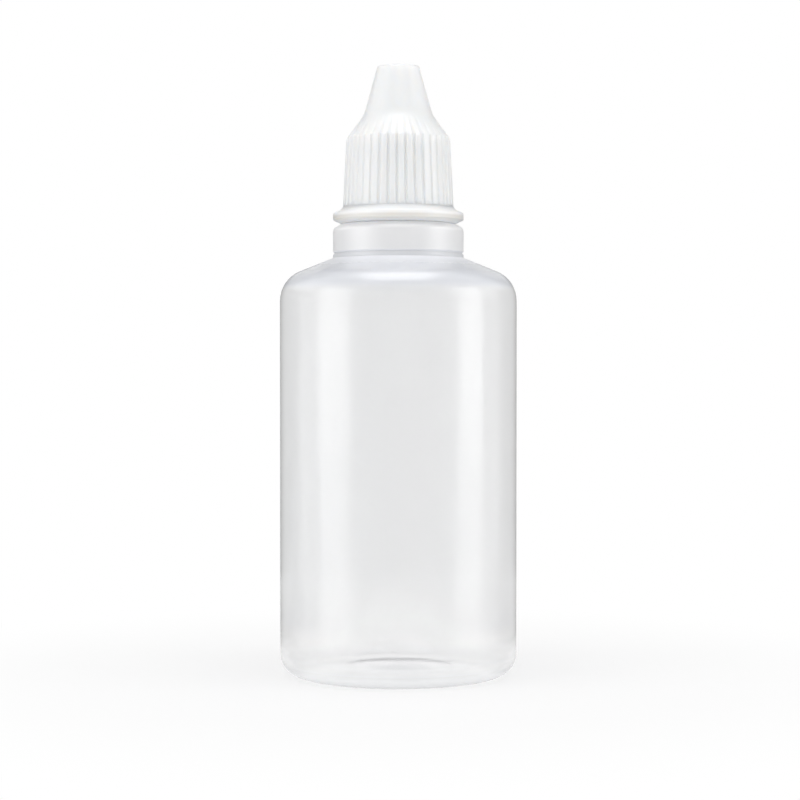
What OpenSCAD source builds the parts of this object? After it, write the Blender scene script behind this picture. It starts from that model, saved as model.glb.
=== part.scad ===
// Squeeze dropper bottle with a dropper plug, a ribbed screw cap and a tamper ring.
// Millimetres, +Z up, with the centre of the base at the origin.

/* [Body] */
// Outer diameter of the body
body_d = 35; // [32:0.5:41]
// Height of the straight wall, up to where the shoulder starts to curve
wall_h = 55.4; // [45:0.2:80]
// Thickness of the blown wall
wall_t = 1; // [0.7:0.05:1.2]
// Radius of the corner between the wall and the base
base_corner_r = 3.3; // [2.4:0.1:4]
// Radius of the corner between the wall and the shoulder
shoulder_corner_r = 4.7; // [3.5:0.1:6]
// Slope of the shoulder above the horizontal, in degrees
shoulder_slope = 22; // [16:1:30]

/* [Base] */
// Width of the flat ring that the bottle stands on
foot_w = 1; // [0.5:0.1:1.5]
// Height that the base is pushed up inside the foot
base_rise = 1; // [0.6:0.1:1.5]
// Diameter of the raised panel in the base
panel_d = 15.7; // [13:0.1:18]
// Height of the step round the panel
panel_step = 0.4; // [0.2:0.05:0.6]
// Diameter of the dimple in the middle of the panel
dimple_d = 11.2; // [8:0.1:12]
// Height of the dimple above the panel
dimple_rise = 0.5; // [0.2:0.05:0.8]

/* [Collar] */
// Diameter of the collar, and of the flange of the tamper ring above it
collar_d = 19.3; // [19:0.1:21]
// Height of the collar above the shoulder
collar_h = 5; // [4:0.1:7]
// Width of the bevel round the collar's top
collar_bevel_w = 1.25; // [1:0.05:1.5]
// Slope of the bevel above the horizontal, in degrees
collar_bevel_angle = 26; // [20:1:32]
// Radius of the edge between the bevel and the collar's side
collar_edge_r = 0.9; // [0.5:0.1:1.2]
// Height of the mould line groove above the foot of the collar
mould_line_z = 0.5; // [0.2:0.05:0.8]
// Width of the mould line groove
mould_line_w = 0.35; // [0.2:0.05:0.5]
// Depth of the mould line groove
mould_line_depth = 0.2; // [0.1:0.05:0.3]

/* [Neck] */
// Height of the neck above the collar
neck_h = 10.3; // [10:0.1:13]
// Diameter of the bore that holds the dropper plug
neck_bore_d = 9.2; // [8.6:0.1:10]
// Wall of the neck at the root of its thread
neck_t = 1.15; // [0.9:0.05:1.4]
// How far the retaining bead stands out beyond the foot of the neck
bead_out = 0.55; // [0.4:0.05:0.7]
// Height of the retaining bead's upright edge
bead_edge_h = 0.4; // [0.3:0.05:0.6]
// Height of the bead's sloped top, which the ring slides over once
bead_slope_h = 0.9; // [0.7:0.05:1.1]

/* [Thread] */
// Rise of the cap in one turn
thread_lead = 2.5; // [2.2:0.1:3]
// Turns of thread on the neck
thread_turns = 1.75; // [1:0.25:1.75]
// Turns of thread in the cap
cap_thread_turns = 1.5; // [1:0.25:1.75]
// Height of a thread above the wall that carries it
thread_depth = 0.65; // [0.5:0.05:0.8]
// Width of a thread where it leaves the wall
thread_root_w = 1.15; // [1:0.05:1.3]
// Width of a thread at its crest
thread_crest_w = 0.55; // [0.4:0.05:0.7]
// Radial clearance between a thread's crest and the other wall
thread_clear = 0.25; // [0.2:0.01:0.35]
// Gap along the axis between the flanks that carry the cap
thread_gap = 0.1; // [0.08:0.01:0.2]

/* [Tamper ring] */
// Gap between the collar and the ring
ring_gap = 0.1; // [0.05:0.05:0.3]
// How far the ring's foot lies inside the edge of its flange
ring_foot_in = 1.35; // [1.1:0.05:1.6]
// Height of the cone under the flange
flange_cone_h = 0.5; // [0.3:0.05:0.7]
// Thickness of the flange at its edge
flange_t = 1; // [0.8:0.05:1.2]
// Height of the slope on top of the flange
flange_slope_h = 0.45; // [0.3:0.05:0.6]
// Radius of the flange's edges
flange_edge_r = 0.35; // [0.2:0.05:0.4]
// Height of the ring's upright rim above the slope
ring_rim_h = 0.2; // [0.1:0.05:0.4]
// How far the rim stands out beyond the foot of the cap
ring_out = 0.15; // [0.05:0.05:0.3]
// Height of the snap lip inside the ring
snap_h = 0.7; // [0.5:0.05:0.9]
// Radial clearance between the snap lip and the foot of the neck
snap_clear = 0.2; // [0.1:0.05:0.3]
// Radial clearance between the ring, or the mouth of the cap, and the retaining bead
bead_clear = 0.15; // [0.1:0.05:0.3]
// Play of the ring along the axis, under the retaining bead
ring_play = 0.2; // [0.1:0.05:0.3]
// Height of the slit between the ring and the cap
slit_h = 0.12; // [0.08:0.01:0.3]
// Number of bridges across the slit
bridge_count = 8; // [4:1:16]
// Width of a bridge
bridge_w = 0.6; // [0.4:0.05:1]
// Gap left at the top of a bridge, where it has parted from the cap
bridge_break = 0.03; // [0.02:0.01:0.05]

/* [Cap] */
// Wall of the skirt behind its grooves, at the top
cap_wall = 0.75; // [0.7:0.05:1.2]
// Height of the skirt above the flange of the dropper plug
cap_over = 1.45; // [1:0.05:2]
// Taper of the skirt, in degrees
skirt_taper = 3; // [1:0.1:3.5]
// Height of the wide mouth at the foot of the cap
mouth_h = 0.5; // [0.3:0.05:0.8]
// Number of ribs round the skirt
rib_count = 38; // [30:2:42]
// Turn of the ribs about the axis, in degrees
rib_turn = 3.3; // [0:0.1:9]
// Depth of the grooves between the ribs
rib_depth = 0.25; // [0.15:0.01:0.35]
// Width of a groove at the surface
rib_gap_w = 0.66; // [0.4:0.02:0.8]
// Width of a groove at its floor
rib_floor_w = 0.3; // [0.2:0.02:0.4]
// Radius of the edge at the top of the skirt
skirt_edge_r = 0.8; // [0.3:0.1:1]

/* [Nose of the cap] */
// Angle between the flare above the skirt and the axis, in degrees
flare_angle = 37; // [34:1:40]
// Angle between the side of the nose and the axis, in degrees
nose_angle = 15.4; // [14:0.2:17]
// Radius of the nose at its top, before its edge is rounded
nose_tip_r = 3.1; // [2.9:0.1:3.6]
// Radius of the hollow blend between flare and nose
nose_blend_r = 5; // [3:0.2:6]
// Radius of the edge at the top of the nose
nose_edge_r = 0.35; // [0.2:0.05:0.5]
// Wall of the nose and the flare
nose_wall = 1.2; // [1:0.05:1.4]
// Thickness of the closed top of the nose
nose_top_t = 1.4; // [1:0.1:2]

/* [Seal in the cap] */
// Gap between the cap and the plug where the cap comes to rest
seal_gap = 0.1; // [0.05:0.01:0.15]
// Width of the ledge over the rim of the plug's flange
ledge_w = 0.75; // [0.5:0.05:1]
// Height of the boss that covers the tip
boss_h = 0.9; // [0.6:0.05:1.2]
// Radius of the boss
boss_r = 1.4; // [1:0.05:1.6]
// Length of the pin that closes the orifice
pin_h = 0.8; // [0.5:0.05:1]
// Radial clearance between the pin and the orifice
pin_clear = 0.1; // [0.05:0.01:0.12]

/* [Dropper plug] */
// Length of the plug inside the neck
plug_depth = 6; // [4:0.1:8]
// Wall of the plug and its nozzle
plug_wall = 0.85; // [0.6:0.05:1]
// Radial squeeze of the plug in the neck
plug_squeeze = 0.03; // [0.01:0.01:0.05]
// Length of the chamfer at the plug's lower end
plug_lead_in = 0.8; // [0.4:0.1:1.2]
// Thickness of the flange on the neck
plug_flange_t = 0.9; // [0.6:0.05:1.2]
// Radius of the flange's edge
plug_flange_edge_r = 0.25; // [0.1:0.05:0.3]
// Radius of the nozzle where it leaves the flange
nozzle_root_r = 4.1; // [3.8:0.1:4.3]
// Radius of the nozzle at its waist, before the waist is blended
nozzle_waist_r = 2.7; // [2.4:0.1:3]
// Height of the waist above the flange
nozzle_waist_h = 2.8; // [2:0.1:3.5]
// Radius of the hollow blend at the waist
nozzle_blend_r = 6; // [3:0.5:8]
// Radius of the nozzle at its tip
nozzle_tip_r = 1.75; // [1.6:0.05:1.9]
// Height of the nozzle above the flange
nozzle_h = 9.7; // [8:0.1:12]
// Radius of the edge at the tip
nozzle_edge_r = 0.3; // [0.1:0.05:0.4]
// Radius of the orifice that forms the drop
orifice_r = 0.4; // [0.3:0.05:0.5]
// Length of the orifice
orifice_h = 1.3; // [1.1:0.1:2]

/* [Hidden] */
$fn = 96;

// How far a cut runs past the surface it opens, and how far joined shapes overlap
over = 1;
merge = 0.3;

// Body and base
body_r = body_d / 2;
wall_corner_x = body_r - base_corner_r;
shoulder_corner_x = body_r - shoulder_corner_r;
foot_in_r = wall_corner_x - foot_w;
panel_r = panel_d / 2;
panel_z = base_rise + panel_step;
dimple_r = dimple_d / 2;
dimple_sphere_r = (dimple_r * dimple_r + dimple_rise * dimple_rise) / (2 * dimple_rise);

// Collar, with the shoulder's slope carried up to its side
collar_r = collar_d / 2;
hollow_r = collar_r - wall_t;
collar_z = shoulder_z(0, collar_r);
collar_top = collar_z + collar_h;

// Neck
bore_r = neck_bore_d / 2;
neck_r = bore_r + neck_t;
neck_foot_r = neck_r + thread_depth;
bead_r = neck_foot_r + bead_out;
neck_top = collar_top + neck_h;

// Tamper ring
ring_z = collar_top + ring_gap;
ring_top = ring_z + flange_cone_h + flange_t + flange_slope_h + ring_rim_h;
snap_r = neck_foot_r + snap_clear;
ring_in_r = bead_r + bead_clear;
bead_z = ring_z + snap_h + ring_play;
bead_top = bead_z + bead_edge_h + bead_slope_h;

// Heights of the plug and the cap
plug_flange_top = neck_top + plug_flange_t;
nozzle_top = plug_flange_top + nozzle_h;
cap_z = ring_top + slit_h;
ledge_z = plug_flange_top + seal_gap;
skirt_top = plug_flange_top + cap_over;
boss_z = nozzle_top + seal_gap;
nose_in_top = boss_z + boss_h;
cap_top = nose_in_top + nose_top_t;

// Radii of the cap
cap_bore_r = neck_foot_r + thread_clear;
ledge_r = neck_r - ledge_w;
skirt_top_r = cap_bore_r + cap_wall + rib_depth;
cap_foot_r = skirt_top_r + (skirt_top - cap_z) * tan(skirt_taper);
ring_side_r = cap_foot_r + ring_out;

// Threads: the cap's thread hangs one flank gap below the neck's
thread_sink = 0.25;
steps_per_turn = 30;
thread_ramp = 0.12;
thread_start = -0.2;
thread_foot = 0.1;
flank_slope = (thread_root_w - thread_crest_w) / 2 / (thread_depth + thread_sink);
thread_drop = thread_crest_w + flank_slope * (thread_depth - thread_clear) + thread_gap;
neck_thread_z = bead_top + thread_root_w / 2 + thread_foot;
cap_thread_z = cap_z + mouth_h + (ring_in_r - cap_bore_r) + thread_root_w / 2 + thread_foot;
cap_thread_angle = (cap_thread_z - neck_thread_z + thread_drop) / thread_lead * 360;

// Where the flare and the nose meet, with both lines moved in by the wall
flare_slope = tan(flare_angle);
nose_slope = tan(nose_angle);
function flare_r(z, inset) = skirt_top_r - (z - skirt_top) * flare_slope - inset / cos(flare_angle);
function flare_z(r, inset) = skirt_top + (flare_r(skirt_top, inset) - r) / flare_slope;
function nose_r(z, inset) = nose_tip_r + (cap_top - z) * nose_slope - inset / cos(nose_angle);
function nose_meet_z(inset) =
    (flare_r(0, inset) - nose_r(0, inset)) / (flare_slope - nose_slope);

// End of the shoulder's corner arc, and the height of its slope at a radius
function shoulder_end(inset) = [
    shoulder_corner_x + (shoulder_corner_r - inset) * sin(shoulder_slope),
    wall_h + (shoulder_corner_r - inset) * cos(shoulder_slope)
];
function shoulder_z(inset, r) = shoulder_end(inset)[1] + (shoulder_end(inset)[0] - r) * tan(shoulder_slope);

// Blend of radius r at corner v between a and b: its two ends and the centre of its arc
function blend_at(a, v, b, r) = let (
    to_a = (a - v) / norm(a - v),
    to_b = (b - v) / norm(b - v),
    half = acos(to_a * to_b) / 2,
    middle = (to_a + to_b) / norm(to_a + to_b)
) [v + r / tan(half) * to_a, v + r / tan(half) * to_b, v + r / sin(half) * middle];

// Height of a thread along its run, from just under the wall to its full depth
function ramp(t) = min(1, thread_start + (1 - thread_start) * min(t, 1 - t) / thread_ramp);

// Section of a thread in radius and height, with its inner corners first
function thread_section(root_r, side, k) = let (
    crest_r = root_r + side * thread_depth * k,
    buried_r = root_r - side * thread_sink,
    crest_half = (thread_root_w - (thread_root_w - thread_crest_w) * max(k, 0)) / 2,
    root_half = thread_root_w / 2
) side > 0
    ? [[buried_r, -root_half], [crest_r, -crest_half], [crest_r, crest_half], [buried_r, root_half]]
    : [[crest_r, -crest_half], [buried_r, -root_half], [buried_r, root_half], [crest_r, crest_half]];

// Right-hand thread on a wall of radius root_r: side 1 stands outwards, side -1 inwards
module helical_thread(root_r, side, turns) {
    n = ceil(turns * steps_per_turn);
    corners = [
        for (i = [0:n], p = thread_section(root_r, side, ramp(i / n)))
        let (a = 360 * turns * i / n)
        [p[0] * cos(a), p[0] * sin(a), thread_lead * turns * i / n + p[1]]
    ];
    ends = [[3, 2, 1], [3, 1, 0], [4 * n, 4 * n + 1, 4 * n + 2], [4 * n, 4 * n + 2, 4 * n + 3]];
    sides = [
        for (i = [0:n - 1], j = [0:3], half = [0, 1])
        let (a = 4 * i + j, b = 4 * i + (j + 1) % 4)
        half == 0 ? [a, b, b + 4] : [a, b + 4, a + 4]
    ];
    polyhedron(points = corners, faces = concat(ends, sides));
}

// Material in a hollow corner, between the blend's arc and a point inside the wall
module hollow_blend(blend, r, inside) {
    difference() {
        polygon([blend[0], blend[1], inside]);
        translate(blend[2]) circle(r = r);
    }
}

// Half section of the body up to a radius on the shoulder, moved in by the inset
module body_half(inset, top_r) {
    side_r = body_r - inset;
    polygon([
        [0, inset], [wall_corner_x, inset], [side_r, base_corner_r], [side_r, wall_h],
        shoulder_end(inset), [top_r, shoulder_z(inset, top_r)], [0, shoulder_z(inset, top_r)]
    ]);
    translate([wall_corner_x, base_corner_r]) circle(r = base_corner_r - inset);
    translate([shoulder_corner_x, wall_h]) circle(r = shoulder_corner_r - inset);
}

// Half section of the hollow under the base: cone, stepped panel and domed dimple
module base_hollow_half() {
    polygon([
        [0, -over], [foot_in_r, -over], [foot_in_r, 0], [panel_r + panel_step, base_rise],
        [panel_r, panel_z], [0, panel_z]
    ]);
    intersection() {
        translate([0, panel_z + dimple_rise - dimple_sphere_r]) circle(r = dimple_sphere_r);
        translate([0, base_rise]) square([dimple_r + panel_step, 2 * dimple_rise + panel_step]);
    }
}

// Upright bar from the axis with a rounded top edge, between two heights
module rounded_bar(r, z0, z1, edge_r) {
    translate([0, z0]) square([r, z1 - z0 - edge_r]);
    translate([0, z0]) square([r - edge_r, z1 - z0]);
    translate([r - edge_r, z1 - edge_r]) circle(r = edge_r);
}

// Half section of the bevelled collar, with the groove along its mould line
module collar_half() {
    foot = [collar_r, wall_h];
    edge = [collar_r, collar_top - collar_bevel_w * tan(collar_bevel_angle)];
    bevel_end = [collar_r - collar_bevel_w, collar_top];
    edge_blend = blend_at(foot, edge, bevel_end, collar_edge_r);
    difference() {
        polygon([[0, wall_h], foot, edge_blend[0], edge_blend[1], bevel_end, [0, collar_top]]);
        translate([collar_r - mould_line_depth, collar_z + mould_line_z])
            square([mould_line_depth + over, mould_line_w]);
    }
    translate(edge_blend[2]) circle(r = collar_edge_r);
}

// Half section of the neck, with the bead that keeps the ring on
module neck_half() {
    polygon([
        [0, wall_h], [neck_foot_r, wall_h], [neck_foot_r, bead_z], [bead_r, bead_z],
        [bead_r, bead_z + bead_edge_h], [neck_r, bead_top], [neck_r, neck_top], [0, neck_top]
    ]);
}

// Half section of everything inside the bottle
module bottle_cavity_half() {
    difference() {
        body_half(wall_t, hollow_r);
        translate([0, wall_t]) base_hollow_half();
    }
    rounded_bar(hollow_r, wall_h, collar_top - wall_t, collar_edge_r / 2);
    translate([0, wall_h]) square([bore_r, neck_top - wall_h + over]);
}

module bottle() {
    color([0.90, 0.92, 0.94]) {
        rotate_extrude() difference() {
            union() {
                body_half(0, collar_r);
                collar_half();
                neck_half();
            }
            base_hollow_half();
            bottle_cavity_half();
        }
        translate([0, 0, neck_thread_z]) helical_thread(neck_r, 1, thread_turns);
    }
}

// Half section of the plug's outside: barrel, flange and waisted nozzle
module plug_half() {
    barrel_r = bore_r + plug_squeeze;
    root = [nozzle_root_r, plug_flange_top];
    waist = [nozzle_waist_r, plug_flange_top + nozzle_waist_h];
    tip = [nozzle_tip_r, nozzle_top];
    waist_blend = blend_at(root, waist, tip, nozzle_blend_r);
    tip_blend = blend_at(waist, tip, [0, nozzle_top], nozzle_edge_r);
    polygon([
        [0, neck_top - plug_depth], [barrel_r - plug_wall / 2, neck_top - plug_depth],
        [barrel_r, neck_top - plug_depth + plug_lead_in], [barrel_r, neck_top],
        [nozzle_root_r, neck_top + plug_flange_t / 2], root, waist, tip_blend[0], tip_blend[1],
        [0, nozzle_top]
    ]);
    hollow_blend(waist_blend, nozzle_blend_r, [0, waist[1]]);
    translate(tip_blend[2]) circle(r = nozzle_edge_r);
    translate([0, neck_top]) rounded_bar(neck_r, 0, plug_flange_t, plug_flange_edge_r);
}

// Half section of the passage through the plug, from the open barrel to the orifice
module plug_passage_half() {
    barrel_in_r = bore_r - plug_wall;
    polygon([
        [0, neck_top - plug_depth - over], [barrel_in_r, neck_top - plug_depth - over],
        [barrel_in_r, neck_top - plug_wall / 2],
        [nozzle_waist_r - plug_wall, plug_flange_top + nozzle_waist_h - plug_wall / 2],
        [nozzle_tip_r - plug_wall, nozzle_top - orifice_h - (nozzle_tip_r - plug_wall - orifice_r)],
        [orifice_r, nozzle_top - orifice_h], [orifice_r, nozzle_top + over], [0, nozzle_top + over]
    ]);
}

module dropper_plug() {
    color([0.95, 0.95, 0.93]) rotate_extrude() difference() {
        plug_half();
        plug_passage_half();
    }
}

// Half section of the ring: cone, flange, upright rim and snap lip
module ring_half() {
    foot = [collar_r - ring_foot_in, ring_z];
    low = [collar_r, ring_z + flange_cone_h];
    high = [collar_r, ring_z + flange_cone_h + flange_t];
    rim_foot = [ring_side_r, ring_top - ring_rim_h];
    low_blend = blend_at(foot, low, high, flange_edge_r);
    high_blend = blend_at(low, high, rim_foot, flange_edge_r);
    polygon([
        [ring_in_r, ring_z], foot, low_blend[0], low_blend[1], high_blend[0], high_blend[1], rim_foot,
        [ring_side_r, ring_top], [ring_in_r, ring_top]
    ]);
    for (blend = [low_blend, high_blend])
        translate(blend[2]) circle(r = flange_edge_r);
    polygon([
        [ring_in_r + merge, ring_z], [ring_in_r + merge, ring_z + snap_h + merge],
        [snap_r, ring_z + snap_h], [snap_r, ring_z + snap_h / 2], [snap_r + snap_h / 3, ring_z]
    ]);
}

module tamper_ring() {
    bridge_t = (cap_foot_r - rib_depth - ring_in_r) / 2;
    color([0.97, 0.97, 0.97]) {
        rotate_extrude() ring_half();
        for (i = [0:bridge_count - 1])
            rotate([0, 0, 360 / bridge_count * i])
                translate([ring_in_r + bridge_t / 2, -bridge_w / 2, ring_top - bridge_w])
                    cube([bridge_t, bridge_w, bridge_w + slit_h - bridge_break]);
    }
}

// Half section of the cap's outside: skirt, flare, hollow blend and nose
module cap_half() {
    foot = [cap_foot_r, cap_z];
    edge = [skirt_top_r, skirt_top];
    waist = [flare_r(nose_meet_z(0), 0), nose_meet_z(0)];
    tip = [nose_tip_r, cap_top];
    edge_blend = blend_at(foot, edge, waist, skirt_edge_r);
    waist_blend = blend_at(edge, waist, tip, nose_blend_r);
    tip_blend = blend_at(waist, tip, [0, cap_top], nose_edge_r);
    polygon([
        [0, cap_z], foot, edge_blend[0], edge_blend[1], waist, tip_blend[0], tip_blend[1], [0, cap_top]
    ]);
    hollow_blend(waist_blend, nose_blend_r, [0, waist[1]]);
    translate(edge_blend[2]) circle(r = skirt_edge_r);
    translate(tip_blend[2]) circle(r = nose_edge_r);
}

// Half section of the cap's inside, less the boss and the pin that close the orifice
module cap_cavity_half() {
    meet_z = nose_meet_z(nose_wall);
    difference() {
        polygon([
            [0, cap_z - over], [ring_in_r, cap_z - over], [ring_in_r, cap_z + mouth_h],
            [cap_bore_r, cap_z + mouth_h + ring_in_r - cap_bore_r], [cap_bore_r, ledge_z],
            [ledge_r, ledge_z], [ledge_r, flare_z(ledge_r, nose_wall)],
            [flare_r(meet_z, nose_wall), meet_z], [nose_r(nose_in_top, nose_wall), nose_in_top],
            [0, nose_in_top]
        ]);
        translate([0, boss_z]) square([boss_r, boss_h + over]);
        translate([0, boss_z - pin_h]) square([orifice_r - pin_clear, pin_h + over]);
    }
}

// One groove between two ribs, along the taper of the skirt, that runs out on the flare
module rib_groove() {
    translate([cap_foot_r, 0, cap_z]) rotate([0, -skirt_taper, 0])
        translate([0, 0, -over]) linear_extrude(height = skirt_top - cap_z + 3 * over)
            polygon([
                [-rib_depth, -rib_floor_w / 2], [0, -rib_gap_w / 2], [over, -rib_gap_w / 2 - over],
                [over, rib_gap_w / 2 + over], [0, rib_gap_w / 2], [-rib_depth, rib_floor_w / 2]
            ]);
}

module cap() {
    color([0.98, 0.98, 0.98]) {
        difference() {
            rotate_extrude() difference() {
                cap_half();
                cap_cavity_half();
            }
            for (i = [0:rib_count - 1])
                rotate([0, 0, 360 / rib_count * i + rib_turn]) rib_groove();
        }
        translate([0, 0, cap_thread_z]) rotate([0, 0, cap_thread_angle])
            helical_thread(cap_bore_r, -1, cap_thread_turns);
    }
}

bottle();
dropper_plug();
tamper_ring();
cap();
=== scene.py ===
"""Looks of a squeeze dropper bottle: milky bottle, dropper plug, tamper ring and ribbed cap."""

import math

import bmesh
import bpy
from mathutils import Matrix, Vector


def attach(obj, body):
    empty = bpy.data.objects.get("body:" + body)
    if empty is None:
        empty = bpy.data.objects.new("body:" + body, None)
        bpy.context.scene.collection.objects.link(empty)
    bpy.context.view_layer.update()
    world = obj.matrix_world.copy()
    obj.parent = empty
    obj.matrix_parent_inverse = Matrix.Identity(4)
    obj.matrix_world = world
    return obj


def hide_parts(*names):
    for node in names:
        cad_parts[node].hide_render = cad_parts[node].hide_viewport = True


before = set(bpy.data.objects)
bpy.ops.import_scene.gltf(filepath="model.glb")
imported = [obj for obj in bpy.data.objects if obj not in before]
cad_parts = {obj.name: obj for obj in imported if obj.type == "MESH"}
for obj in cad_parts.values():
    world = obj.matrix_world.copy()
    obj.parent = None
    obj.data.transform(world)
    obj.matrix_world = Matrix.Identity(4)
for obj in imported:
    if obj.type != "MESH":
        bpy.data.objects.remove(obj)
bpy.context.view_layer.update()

MM = 0.001

# Body and base, in millimetres like every size of the part below
BODY_R = 17.5
WALL = 1.0
WALL_TOP = 55.4
BASE_CORNER = 3.3
SHOULDER_CORNER = 4.7
SHOULDER_ANGLE = math.radians(22)
FOOT_W = 1.0
BASE_RISE = 1.0
PANEL_R = 7.85
PANEL_STEP = 0.4
PANEL_EDGE = 0.12
DIMPLE_R = 5.6
DIMPLE_RISE = 0.5

# Collar
COLLAR_R = 9.65
COLLAR_H = 5.0
BEVEL_W = 1.25
BEVEL_H = BEVEL_W * math.tan(math.radians(26))
BEVEL_EDGE = 0.9
MOULD_LINE_UP = 0.5
MOULD_LINE_W = 0.35
MOULD_LINE_DEPTH = 0.2
MOULD_LINE_SLANT = 0.02

# Neck and retaining bead
NECK_R = 5.75
BORE_R = 4.6
NECK_H = 10.3
BEAD_OUT = 0.55
BEAD_EDGE = 0.4
BEAD_SLOPE_H = 0.9

# Threads
LEAD = 2.5
THREAD_ROOT_W = 1.15
THREAD_CREST_W = 0.55
THREAD_DEPTH = 0.65
THREAD_SINK = 0.25
THREAD_GAP = 0.1
THREAD_CLEAR = 0.25
THREAD_FOOT = 0.1
THREAD_RUN_OUT = 0.1
THREAD_LEAST = 0.05
THREAD_STEPS = 72
NECK_TURNS = 1.75
CAP_TURNS = 1.5

# Tamper ring, with the gaps and the lip as they are seen
RING_GAP = 0.1
RING_GAP_SEEN = 0.01
RING_FOOT_IN = 1.35
CONE_H = 0.5
FLANGE_T = 1.0
FLANGE_SLOPE_H = 0.45
RIM_H = 0.2
RIM_OUT = 0.15
SLOPE_END_OUT = 0.2
SLOPE_END_UP = 0.02
LIP_H = 0.1
LIP_GAP = 0.03
LIP_OUT = 0.06
SNAP_H = 0.7
SNAP_SLOPE_H = 0.19
SNAP_CLEAR = 0.2
BEAD_CLEAR = 0.15
RING_PLAY = 0.2
SLIT = 0.12
SLIT_SEEN = 0.02
BRIDGES = 8
BRIDGE_W = 0.6
BRIDGE_ROOT = 0.3
BRIDGE_BREAK = 0.03
BRIDGE_EDGE = 0.03

# Cap
CAP_WALL = 0.75
CAP_OVER = 1.45
MOUTH_H = 0.5
RIBS = 38
RIB_TURN = math.radians(3.3)
RIB_GATHER = 0.6
GROOVE_W = 0.66
GROOVE_FLOOR_W = 0.3
GROOVE_DEPTH = 0.25
GROOVE_LEAST = 0.3
RUN_OUT = 0.9
FLARE_BEND_H = 0.5
SKIRT_TAPER = math.tan(math.radians(3))
FLARE = math.tan(math.radians(37))
NOSE = math.tan(math.radians(15.4))
NOSE_TIP_R = 3.1
NOSE_WALL = 1.2
NOSE_TOP_T = 1.4
GATE_R = 0.6
GATE_FLOOR_R = 0.45
GATE_DEPTH = 0.12
LEDGE_IN = 0.75
SEAL_GAP = 0.1
BOSS_R = 1.4
BOSS_H = 0.9
PIN_R = 0.3
PIN_H = 0.8

# Dropper plug
PLUG_PRESS = 0.03
PLUG_WALL = 0.85
PLUG_DEPTH = 6.0
PLUG_LEAD_IN = 0.8
PLUG_FLANGE_T = 0.9
NOZZLE_ROOT_R = 4.1
NOZZLE_WAIST_R = 2.7
NOZZLE_WAIST_UP = 2.8
NOZZLE_TIP_R = 1.75
NOZZLE_H = 9.7
ORIFICE_R = 0.4
ORIFICE_H = 1.3

# Radii and heights worked out from them
FOOT_IN_R = BODY_R - BASE_CORNER - FOOT_W
PANEL_Z = BASE_RISE + PANEL_STEP
PANEL_TOP = PANEL_Z + DIMPLE_RISE
HOLLOW_R = COLLAR_R - WALL
NECK_FOOT_R = NECK_R + THREAD_DEPTH
BEAD_R = NECK_FOOT_R + BEAD_OUT
SNAP_R = NECK_FOOT_R + SNAP_CLEAR
RING_IN_R = BEAD_R + BEAD_CLEAR
CAP_BORE_R = NECK_FOOT_R + THREAD_CLEAR
LEDGE_R = NECK_R - LEDGE_IN
PLUG_R = BORE_R + PLUG_PRESS
SHOULDER_END_R = BODY_R - SHOULDER_CORNER * (1 - math.sin(SHOULDER_ANGLE))
SHOULDER_END_Z = WALL_TOP + SHOULDER_CORNER * math.cos(SHOULDER_ANGLE)
COLLAR_Z = SHOULDER_END_Z + (SHOULDER_END_R - COLLAR_R) * math.tan(SHOULDER_ANGLE)
COLLAR_TOP = COLLAR_Z + COLLAR_H
RING_Z = COLLAR_TOP + RING_GAP
RING_Z_SEEN = COLLAR_TOP + RING_GAP_SEEN
RING_TOP = RING_Z + CONE_H + FLANGE_T + FLANGE_SLOPE_H + RIM_H
BEAD_Z = RING_Z + SNAP_H + RING_PLAY
BEAD_TOP = BEAD_Z + BEAD_EDGE + BEAD_SLOPE_H
CAP_Z = RING_TOP + SLIT
RING_TOP_SEEN = CAP_Z - SLIT_SEEN
NECK_TOP = COLLAR_TOP + NECK_H
PLUG_FOOT = NECK_TOP - PLUG_DEPTH
PLUG_FLANGE_TOP = NECK_TOP + PLUG_FLANGE_T
NOZZLE_WAIST_Z = PLUG_FLANGE_TOP + NOZZLE_WAIST_UP
NOZZLE_TOP = PLUG_FLANGE_TOP + NOZZLE_H
LEDGE_Z = PLUG_FLANGE_TOP + SEAL_GAP
SKIRT_TOP = PLUG_FLANGE_TOP + CAP_OVER
BOSS_Z = NOZZLE_TOP + SEAL_GAP
NOSE_IN_TOP = BOSS_Z + BOSS_H
CAP_TOP = NOSE_IN_TOP + NOSE_TOP_T
SKIRT_TOP_R = CAP_BORE_R + CAP_WALL + GROOVE_DEPTH
CAP_FOOT_R = SKIRT_TOP_R + (SKIRT_TOP - CAP_Z) * SKIRT_TAPER
RIM_R = CAP_FOOT_R + RIM_OUT
NECK_THREAD_Z = BEAD_TOP + THREAD_ROOT_W / 2 + THREAD_FOOT
CAP_THREAD_Z = CAP_Z + MOUTH_H + RING_IN_R - CAP_BORE_R + THREAD_ROOT_W / 2 + THREAD_FOOT

# Fineness of the meshes
ARC_STEP = math.radians(9)
SHARP_ANGLE = math.radians(40)
DOME_PARTS = 10
MERGE = 0.0005
BOTTLE_SIDES = 224
PLUG_SIDES = 128
RING_SIDES = 192
SIDES_PER_RIB = 12

# Streaks, which are drawn out upwards, and waves and grain of every plastic
STREAK_SQUEEZE = 0.12
STREAK_GLOSS = 0.6
WAVES_HIGHER = 6

# Clearness of the bottle's plastic: heights and widths in millimetres, the rest as shares
HEEL_CLEAR = 4.0
HEEL_END = 16.0
NEAR_BASE = 3
ABOVE_BASE = 7
FOOT_DENSER = 0.5
LEVEL_RISE = 0.85
FLOOR_CLEAR = 0.3
FLOOR_CLEARER = 0.7
SHOULDER_FLAT_Z = WALL_TOP + 2.5
SHOULDER_FLAT = 0.5
SLANT_POWER = 1.5
DIMPLE_VEIL_EDGE = 0.4
DIMPLE_VEIL_FADE = 0.05
VEIL_START = 0.14
VEIL_GAIN = 3
VEIL_MOST = 0.4
COLLAR_DULLER = 0.18

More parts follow.
